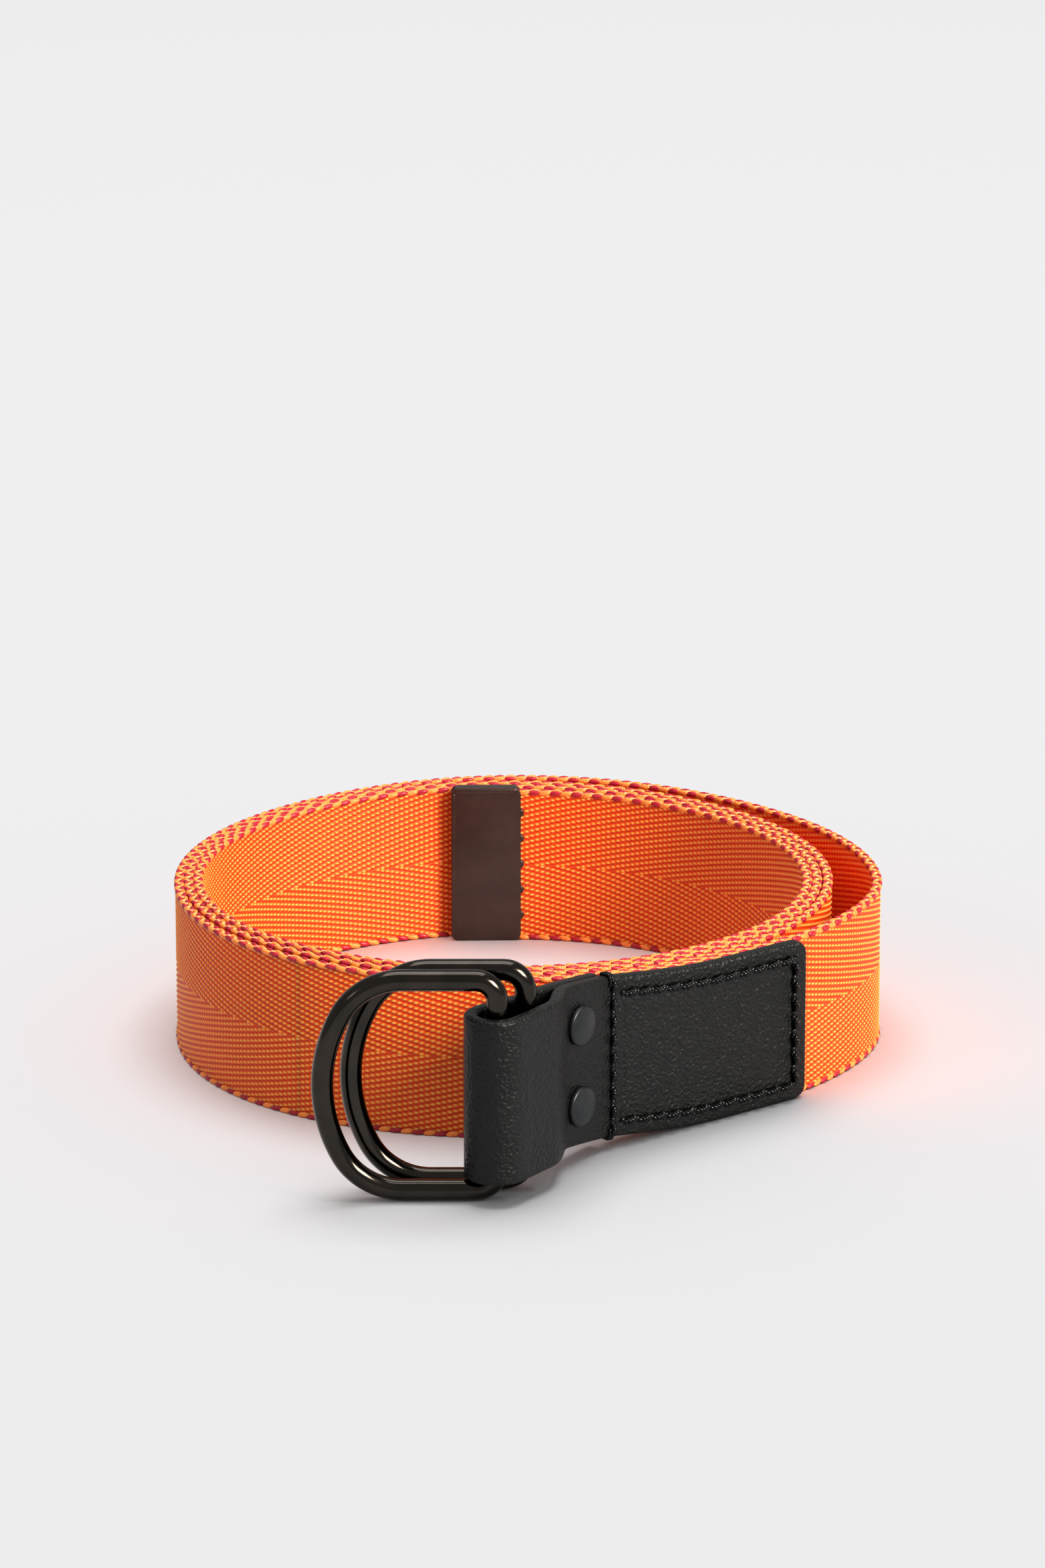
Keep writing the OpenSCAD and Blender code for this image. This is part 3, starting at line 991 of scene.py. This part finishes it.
@dataclass
class LeatherTab:
    """One strip of leather: the patch on the webbing, and the tail folded round the rings and riveted."""

    layout: Layout
    corner: float = 3.0
    edge_round: float = 0.8
    step: float = 0.45
    # distances from the free end at which its rounded corners and edge are drawn
    end_steps: tuple[float, ...] = (0, 0.04, 0.12, 0.25, 0.42, 0.62, 0.85, 1.1, 1.5, 2.0, 2.5)
    hide: BlackLeather = BlackLeather()

    def section(self) -> tuple[np.ndarray, np.ndarray]:
        """Draws the strip's section, with rounded edges.

        Returns:
            The heights and the offsets of the points round it.
        """
        half, r = self.layout.leather_t / 2, self.edge_round
        top = WEB_HEIGHT - r
        face = np.linspace(r, top, 19)
        flat = np.full(len(face), half)
        turn = np.radians(np.arange(15, 90, 15))
        back = turn[::-1]
        up = np.concatenate([face, top + r * np.sin(turn), [WEB_HEIGHT], top + r * np.sin(back)])
        out = np.concatenate([flat, half - r + r * np.cos(turn), [0], r - half - r * np.cos(back)])
        low = np.concatenate([r - r * np.sin(turn), [0], r - r * np.sin(back)])
        low_out = np.concatenate([r - half - r * np.cos(turn), [0], half - r + r * np.cos(back)])
        heights = np.concatenate([up, face[::-1], low, up[:1]])
        return heights, np.concatenate([out, -flat, low_out, out[:1]])

    def mesh(self, route: Route) -> bpy.types.Mesh:
        """Builds the strip along its route, with the patch's corners rounded.

        Args:
            route: The tab's route.

        Returns:
            The closed mesh.
        """
        up, out = self.section()
        beyond = np.arange(self.corner, route.length, self.step)
        along = np.concatenate([self.end_steps, beyond, [route.length]])
        near = np.clip(self.corner - along, 0, self.corner)
        tall = (WEB_HEIGHT / 2 - self.corner + np.sqrt(self.corner**2 - near**2)) / (WEB_HEIGHT / 2)
        close = np.clip(self.edge_round - along, 0, self.edge_round)
        half = self.layout.leather_t / 2
        thick = (half - self.edge_round + np.sqrt(self.edge_round**2 - close**2)) / half

        def place(column: np.ndarray, row: np.ndarray) -> tuple[np.ndarray, np.ndarray]:
            """Places the grid's points on the strip, drawn in at its free end.

            Args:
                column: Each point's column.
                row: Its row.

            Returns:
                The points, and their millimetres along and up the tab.
            """
            s = along[column]
            y = WEB_HEIGHT / 2 + (up[row] - WEB_HEIGHT / 2) * tall[column]
            return route.at(s, out[row] * thick[column], y), np.stack([s, y], axis=-1)

        return bent_sheet(place, len(along), len(up))

    def build(self) -> Route:
        """Builds and dresses the tab.

        Returns:
            Its route, for what is sewn on it.
        """
        route = self.layout.tab()
        made = finished("tab_leather", self.mesh(route), self.hide.material(), "belt")
        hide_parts("leather_tab")
        return route


@dataclass
class Sewing:
    """Waxed two-ply thread: a line round the patch, and a seam across the tab that wraps its edges."""

    layout: Layout
    margin: float = 3.3
    stitch: float = 3.4
    slant: float = 13.0
    # each ply's radius, its distance from the thread's middle, how deep a stitch's ends are sunk, how much of
    # the stitch is lost in its two holes, and the power that makes its arch full
    ply: float = 0.42
    lay: float = 0.32
    sunk: float = 0.55
    hidden: float = 0.5
    fullness: float = 0.75
    twists: float = 2.5
    # how far a stitch's middle stands out of the face, the back and the seam
    proud: float = 0.7
    back_proud: float = 0.1
    seam_proud: float = 0.42
    knot: Triple = (0.75, 0.62, 0.55)
    seam_at: float = 0.6
    seam_slant: float = 9.0
    seam_knot: Triple = (0.75, 0.62, 0.6)
    wrap_r: float = 0.36
    wrap_proud: float = 0.2
    wrap_reach: float = 2.0
    wrap_pitch: float = 0.75
    wrap_lean: float = 0.25
    wrap_rise: float = 0.15
    back_gap: float = 0.04
    thread: DyedYarn = DyedYarn(
        "black waxed polyester thread", "010101", "060607", roughness=0.16, grain=0.3, shine=0.24
    )

    def template(self, length: float, proud: float) -> bpy.types.Mesh:
        """One stitch of two twisted plies, from hole to hole along X, with its ends sunk in the leather.

        Args:
            length: Distance between the needle holes.
            proud: Height of its middle above the leather.

        Returns:
            The stitch's mesh, in millimetres, centred on the origin.
        """
        t = np.linspace(0, 1, 15)
        run = (t - 0.5) * (length - self.hidden)
        swell = np.sin(np.pi * np.clip(t, 0.004, 0.996)) ** self.fullness
        arch = (proud + self.sunk) * swell - self.sunk
        whole = bmesh.new()
        for start in (0, math.pi):
            twist = start + 2 * math.pi * self.twists * t
            line = np.stack([run, self.lay * np.cos(twist), arch + self.lay * np.sin(twist)], axis=1)
            ply = mesh_of(tube(line, self.ply, 6, False, Vector((0, 0, 1))))
            whole.from_mesh(ply)
            bpy.data.meshes.remove(ply)
        return mesh_of(whole)

    def line(
        self, route: Route, face: float
    ) -> tuple[list[Matrix], list[Matrix], list[Matrix], float, float]:
        """Places the stitches round the patch on one face.

        Args:
            route: The tab's route.
            face: Distance of that face from the leather's middle, positive to the front.

        Returns:
            The level stitches, the upright ones, the knots at the holes, and both stitch lengths.
        """
        run = self.layout.patch_l - 2 * self.margin
        count = round(run / self.stitch)
        step = run / count
        tall = WEB_HEIGHT - 2 * self.margin
        upright_count = round(tall / self.stitch)
        rise = tall / upright_count
        level, upright, knots = [], [], []
        front = 1 if face > 0 else -1
        turn = Matrix.Rotation(math.radians(-90 * front), 4, "X")
        slant = Matrix.Rotation(math.radians(self.slant), 4, "Z")
        for up in (self.margin, WEB_HEIGHT - self.margin):
            for i in range(count):
                level.append(route.frame_at(self.margin + (i + 0.5) * step, face, up) @ turn @ slant)
            for i in range(count + 1):
                knots.append(route.frame_at(self.margin + i * step, face, up) @ turn)
        stand = Matrix.Rotation(math.pi / 2, 4, "Z")
        for i in range(upright_count):
            here = route.frame_at(self.margin, face, self.margin + (i + 0.5) * rise)
            upright.append(here @ turn @ stand @ slant)
            knots.append(route.frame_at(self.margin, face, self.margin + i * rise) @ turn)
        return level, upright, knots, step, rise

    def seam(self, route: Route) -> tuple[list[Matrix], list[Matrix], float]:
        """Places the seam across the tab, from edge to edge.

        Args:
            route: The tab's route.

        Returns:
            The stitches, the knots between them, and the stitch's length.
        """
        count = round(WEB_HEIGHT / self.stitch)
        rise = WEB_HEIGHT / count
        along = self.layout.patch_l - self.seam_at
        face = self.layout.leather_t / 2
        turn = Matrix.Rotation(math.radians(-90), 4, "X") @ Matrix.Rotation(math.radians(90), 4, "Z")
        slant = Matrix.Rotation(math.radians(self.seam_slant), 4, "Z")
        places = [route.frame_at(along, face, (i + 0.5) * rise) @ turn @ slant for i in range(count)]
        knots = [route.frame_at(along, face, i * rise) @ turn for i in range(1, count)]
        return places, knots, rise

    def wraps(self, route: Route) -> bpy.types.Mesh:
        """Winds two turns of thread over the tab's upper edge and two under its lower one, at the seam.

        Args:
            route: The tab's route.

        Returns:
            The four turns' mesh, in metres.
        """
        whole = bmesh.new()
        half = self.layout.leather_t / 2 + self.wrap_proud
        angle = np.linspace(0, math.pi, 13)
        across = np.abs(np.cos(angle))
        for edge, way in ((WEB_HEIGHT, 1), (0.0, -1)):
            for shift in (0.0, self.wrap_pitch):
                along = self.layout.patch_l - self.seam_at + shift + self.wrap_lean * np.cos(angle)
                out = half * np.sign(np.cos(angle)) * across**0.4
                over = self.wrap_rise * (1 + np.sin(angle)) - self.wrap_reach * across**4
                up = edge + way * over
                line = route.at(along, out, up) * MM
                ply = mesh_of(tube(line, self.wrap_r * MM, 8, False, Vector((0.3, 0.9, 0.1))))
                whole.from_mesh(ply)
                bpy.data.meshes.remove(ply)
        return mesh_of(whole)

    def build(self, route: Route) -> None:
        """Sews the patch on both faces and the seam across the tab.

        Args:
            route: The tab's route.
        """
        thread = self.thread.material()
        back = -(self.layout.leather_t / 2 + self.back_gap + self.layout.web_t)
        for name, face, proud, node in (
            ("patch_stitches", self.layout.leather_t / 2, self.proud, "patch_needle_thread"),
            ("patch_back_stitches", back, self.back_proud, "patch_bobbin_thread"),
        ):
            level, upright, knots, step, rise = self.line(route, face)
            mesh = repeated(self.template(step, proud), level)
            made = finished(f"{name}_level", mesh, thread, "belt")
            mesh = repeated(self.template(rise, proud), upright)
            finished(f"{name}_upright", mesh, thread, "belt")
            finished(f"{name}_knots", repeated(ball(self.knot), knots), thread, "belt")
            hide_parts(node)
        places, knots, rise = self.seam(route)
        mesh = repeated(self.template(rise, self.seam_proud), places)
        made = finished("seam_stitches", mesh, thread, "belt")
        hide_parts("seam_needle_thread")
        finished("seam_knots", repeated(ball(self.seam_knot), knots), thread, "belt")
        finished("seam_wraps", self.wraps(route), thread, "belt")


# ---------------------------------------------------------------- metal parts


@dataclass
class DRing:
    """A ring of round wire: a straight bar inside the fold, two short legs and a flattened bow."""

    name: str
    wire_d: float = 4.1
    height: float = 45.0
    reach: float = 36.5
    corner_r: float = 4.0
    shoulder_r: float = 13.0
    shoulder_turn: float = 62.0
    # how far straight stretches stop short of the bends, and the degrees left open from shoulder to bow
    short: float = 2.0
    short_turn: float = 2.5

    def line(self) -> np.ndarray:
        """Draws the wire from the bar's middle, up and round to it again.

        Returns:
            The points of its middle line: across and up.
        """
        half = self.height / 2 - self.wire_d / 2 - 0.01
        bend = math.radians(self.shoulder_turn)
        tip = self.wire_d - self.reach
        bow_r = (half - self.shoulder_r * (1 - math.cos(bend))) / math.cos(bend)
        leg_end = tip + bow_r * (1 - math.sin(bend)) + self.shoulder_r * math.sin(bend)

        def arc(x: float, z: float, r: float, first: float, last: float, count: int) -> np.ndarray:
            """Draws an arc.

            Args:
                x: Its middle, across.
                z: Its middle, up.
                r: Its radius.
                first: The angle in degrees at which it starts.
                last: The angle at which it ends.
                count: How many points it has.

            Returns:
                Its points.
            """
            a = np.radians(np.linspace(first, last, count))
            return np.stack([x + r * np.cos(a), z + r * np.sin(a)], axis=1)

        bar = np.stack([np.zeros(4), np.linspace(0, half - self.corner_r - self.short, 4)], axis=1)
        leg_x = np.linspace(-self.corner_r - self.short, leg_end + self.short, 4)
        leg = np.stack([leg_x, np.full(4, half)], axis=1)
        upper = np.concatenate([
            bar,
            arc(-self.corner_r, half - self.corner_r, self.corner_r, 0, 90, 12),
            leg,
            arc(leg_end, half - self.shoulder_r, self.shoulder_r, 90, 90 + self.shoulder_turn, 18),
            arc(tip + bow_r, 0, bow_r, 90 + self.short_turn + self.shoulder_turn, 180, 12),
        ])
        return np.concatenate([upper, upper[-2:0:-1] * [1, -1]])

    def build(self, joint: str, finish: bpy.types.Material) -> None:
        """Builds the ring round its joint's axis and dresses it.

        Args:
            joint: The joint whose axis is the ring's bar.
            finish: The plating.
        """
        pivot = next(j for j in frame["joints"] if j["name"] == joint)["pos_m"]
        flat = self.line() * MM
        level = np.full(len(flat), pivot[1])
        line = np.stack([pivot[0] + flat[:, 0], level, pivot[2] + flat[:, 1]], axis=1)
        mesh = mesh_of(tube(line, self.wire_d / 2 * MM, 28, True, Vector((0, 1, 0))))
        made = finished(f"{self.name}_wire", mesh, finish, self.name)
        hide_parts(self.name)


@dataclass
class Rivets:
    """Two tubular rivets through the tail: a domed cap in front of each, and the post behind it."""

    layout: Layout
    cap_d: float = 7.8
    cap_h: float = 1.5
    shoulder_r: float = 0.55
    dome_h: float = 0.4
    dome_edge: float = 1.2
    edge: float = 8.0
    from_seam: float = 9.8

    def cap(self) -> bpy.types.Mesh:
        """Spins a cap about Z: a short skirt, a rounded shoulder and a shallow dome.

        Returns:
            The cap's mesh, in millimetres, its back at the origin.
        """
        r, h = self.cap_d / 2, self.cap_h
        flat_r, foot = r - self.shoulder_r, h - self.dome_h - self.shoulder_r
        turn = np.radians(np.arange(0, 91, 18))
        shoulder_x = flat_r + self.shoulder_r * np.cos(turn)
        shoulder = np.stack([shoulder_x, foot + self.shoulder_r * np.sin(turn)], axis=1)
        across = np.linspace(r - self.dome_edge, 0, 7)
        dome_x = np.linspace(r - self.dome_edge, 0.01, 7)
        dome = np.stack([dome_x, h - self.dome_h * (across / flat_r) ** 2], axis=1)
        outline = np.concatenate([[[r - 0.1, 0]], shoulder, dome])
        shape = bmesh.new()
        made = [shape.verts.new((x, 0, z)) for x, z in outline]
        edges = [shape.edges.new(pair) for pair in zip(made, made[1:])]
        whole = {"axis": (0, 0, 1), "cent": (0, 0, 0), "angle": 2 * math.pi, "use_merge": True}
        bmesh.ops.spin(shape, geom=made + edges, steps=48, **whole)
        bmesh.ops.remove_doubles(shape, verts=shape.verts, dist=0.015)
        bmesh.ops.holes_fill(shape, edges=[e for e in shape.edges if e.is_boundary], sides=0)
        bmesh.ops.recalc_face_normals(shape, faces=shape.faces)
        return mesh_of(shape)

    def build(self, finish: bpy.types.Material) -> None:
        """Builds both caps and dresses them and the CAD posts.

        Args:
            finish: The enamel of caps and posts.
        """
        out = Vector((*self.layout.tail_out, 0))
        along = Vector((*self.layout.tail_dir, 0))
        lift = float(self.layout.lift(np.array(self.layout.patch_l + self.from_seam)))
        at = self.layout.on_tail(self.from_seam, self.layout.leather_t + self.layout.clear)
        for name, up in (("upper_rivet", WEB_HEIGHT - self.edge), ("lower_rivet", self.edge)):
            place = basis(along, out.cross(along), out, (at[0], at[1], up + lift))
            made = finished(f"{name}_dome", repeated(self.cap(), [place]), finish, "belt")
            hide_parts(f"{name}_cap")
            post = frame["nodes"][f"{name}_post"]
            post.data.materials.clear()
            post.data.materials.append(finish)


@dataclass
class TipClip:
    """A folded sheet-metal clip pressed over the webbing's end, rolled at the top and the closed side."""

    layout: Layout
    width: float = 14.2
    sheet: float = 0.5
    gap: float = 0.05
    past_tip: float = 0.25
    over: float = 0.7
    corner: float = 1.5
    plate_edge: float = 0.16
    # each rolled rim's thickness, edge radius, how far it stands out of both plates together, and how much
    # shorter than the clip it is
    top_roll: float = 1.5
    top_edge: float = 0.6
    top_out: float = 0.9
    top_short: float = 1.4
    side_roll: float = 0.9
    side_edge: float = 0.35
    side_out: float = 0.75
    side_short: float = 2.4
    teeth: int = 5
    tooth: Triple = (0.75, 0.35, 0.95)
    tooth_in: float = 0.18

    def block(self, size: Triple, at: Triple, bevel: float, corner: float = 0.0) -> bpy.types.Mesh:
        """Makes a bevelled block.

        Args:
            size: Its whole size.
            at: Its middle.
            bevel: Radius of its edges.
            corner: Radius of the corners of its broad face, or 0.

        Returns:
            The block's mesh, in millimetres.
        """
        shape = bmesh.new()
        bmesh.ops.create_cube(shape, size=1)
        bmesh.ops.scale(shape, verts=shape.verts, vec=size)
        how = {"profile": 0.5, "affect": "EDGES", "material": -1}
        if corner:
            across = [e for e in shape.edges if abs((e.verts[0].co - e.verts[1].co).y) > size[1] / 2]
            bmesh.ops.bevel(shape, geom=across, offset=corner, segments=6, **how)
        sharp = [e for e in shape.edges if e.calc_face_angle(0) > 0.7]
        bmesh.ops.bevel(shape, geom=sharp, offset=bevel, segments=3, **how)
        bmesh.ops.translate(shape, verts=shape.verts, vec=at)
        return mesh_of(shape)

    def build(self, finish: bpy.types.Material) -> None:
        """Builds the clip's plates, its rolled rims and its teeth, and dresses them.

        Args:
            finish: The metal's finish.
        """
        away = self.layout.clip_dir
        start = self.layout.clip_root + (self.layout.tip_length + self.gap + self.past_tip) * away + COIL_AT
        x = Vector((-away[0], -away[1], 0))
        place = basis(x, Vector((0, 0, 1)).cross(x), (0, 0, 1), (start[0], start[1], 0))
        half = self.layout.web_t / 2 + self.gap + self.sheet / 2
        tall = WEB_HEIGHT + self.over
        across, up = self.width / 2, tall / 2
        plate = (self.width, self.sheet, tall)
        top = (self.width - self.top_short, 2 * half + self.top_out, self.top_roll)
        side_size = (self.side_roll, 2 * half + self.side_out, tall - self.side_short)
        pieces = [
            ("inner_plate", self.block(plate, (across, -half, up), self.plate_edge, self.corner)),
            ("outer_plate", self.block(plate, (across, half, up), self.plate_edge, self.corner)),
            ("top_roll", self.block(top, (across, 0, tall - self.top_roll / 2), self.top_edge)),
            ("side_roll", self.block(side_size, (self.side_roll / 2, 0, up), self.side_edge)),
        ]
        for name, mesh in pieces:
            made = finished(f"clip_{name}", repeated(mesh, [place]), finish, "belt")
            if name == "inner_plate":
                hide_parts("tip_clip")
        step = tall / (self.teeth + 1)
        bites = [
            place @ Matrix.Translation((self.width - 0.1, side * (half - self.tooth_in), (i + 1) * step))
            for i in range(self.teeth)
            for side in (-1, 1)
        ]
        finished("clip_teeth", repeated(ball(self.tooth, 10, 8), bites), finish, "belt")


# ---------------------------------------------------------------- the studio


@dataclass(frozen=True)
class SoftLight:
    """A square area light that faces the belt: its place and width in metres, its power in watts."""

    name: str
    at: Triple
    width: float
    power: float
    colour: str = "ffffff"

    def hang(self) -> bpy.types.Object:
        """Adds the light to the scene.

        Returns:
            The light's object.
        """
        lamp = bpy.data.lights.new(self.name, "AREA")
        lamp.shape = "SQUARE"
        lamp.size = self.width
        lamp.energy = self.power
        lamp.color = linear(self.colour)[:3]
        made = bpy.data.objects.new(self.name, lamp)
        made.location = self.at
        made.rotation_euler = (Vector((0, 0, 0.02)) - Vector(self.at)).to_track_quat("-Z", "Y").to_euler()
        bpy.context.scene.collection.objects.link(made)
        return made


@dataclass
class Studio:
    """A plain pale floor, soft light from the right and above, and a long lens looking down a little."""

    camera_at: Triple = (-0.0011, -1.4188, 0.490)
    tilt: float = 73.0
    lens: float = 176.0
    floor: str = "f3f3f5"
    room: str = "f6f5f4"
    room_light: float = 0.43
    key: SoftLight = SoftLight("key", (2.75, -2.15, 2.0), 1.5, 300, "fff6ea")
    fill: SoftLight = SoftLight("fill", (-3.0, -2.4, 2.0), 0.6, 6)
    top: SoftLight = SoftLight("top", (0.1, 0.6, 3.6), 2.6, 86)

    def paper(self) -> bpy.types.Object:
        """Lays the floor of matt paper.

        Returns:
            The floor.
        """
        shape = bmesh.new()
        bmesh.ops.create_grid(shape, x_segments=1, y_segments=1, size=6)
        floor = bpy.data.objects.new("floor", mesh_of(shape))
        paper, tree, shader = new_material("pale studio paper")
        dull = {"Base Color": linear(self.floor), "Roughness": 0.9, "Specular IOR Level": 0.1}
        join(tree, shader, dull)
        floor.data.materials.append(paper)
        bpy.context.scene.collection.objects.link(floor)
        return floor

    def build(self) -> None:
        """Builds the floor, the lights, the surrounding light and the camera."""
        scene = bpy.context.scene
        floor = self.paper()
        world = bpy.data.worlds.new("studio")
        world.use_nodes = True
        around = {"Color": linear(self.room), "Strength": self.room_light}
        join(world.node_tree, world.node_tree.nodes["Background"], around)
        scene.world = world
        # the key is flagged off the paper, so that the belt's shadow stays soft and short
        flagged = bpy.data.collections.new("flagged from the key")
        flagged.objects.link(floor)
        flagged.collection_objects[0].light_linking.link_state = "EXCLUDE"
        key = self.key.hang()
        self.fill.hang()
        self.top.hang()
        key.light_linking.receiver_collection = flagged
        lens = bpy.data.cameras.new("camera")
        lens.lens = self.lens
        lens.sensor_width = 36.0
        lens.clip_end = 50.0
        camera = bpy.data.objects.new("camera", lens)
        camera.location = self.camera_at
        camera.rotation_euler = (math.radians(self.tilt), 0, 0)
        scene.collection.objects.link(camera)
        scene.camera = camera
        scene.view_settings.view_transform = "Standard"


def main() -> None:
    """Builds the studio, then each sub-assembly in order."""
    logging.basicConfig(level=logging.INFO, format="%(name)s: %(message)s")
    Studio().build()
    layout = Layout()
    Webbing(layout).build()
    sewn = LeatherTab(layout).build()
    Sewing(layout).build(sewn)
    nickel = PlatedMetal("polished black nickel", "35312d", "403b36", 0.13, 0.04, grain=5.0)
    plating = nickel.material()
    DRing("front_ring").build("front_ring_swing", plating)
    DRing("rear_ring").build("rear_ring_swing", plating)
    enamel = PlatedMetal("satin black enamel", "181b1d", "232628", 0.32, 0.05, metallic=0.5, bump=0.03)
    Rivets(layout).build(enamel.material())
    # dark gunmetal, its warm brown tint a painted reflection of the orange webbing
    gunmetal_and_painted_reflection = PlatedMetal("satin gunmetal", "3a2b26", "463530", 0.34, 0.05, metallic=0.65, grain=6.0)
    TipClip(layout).build(gunmetal_and_painted_reflection.material())


if __name__ == "__main__":
    main()
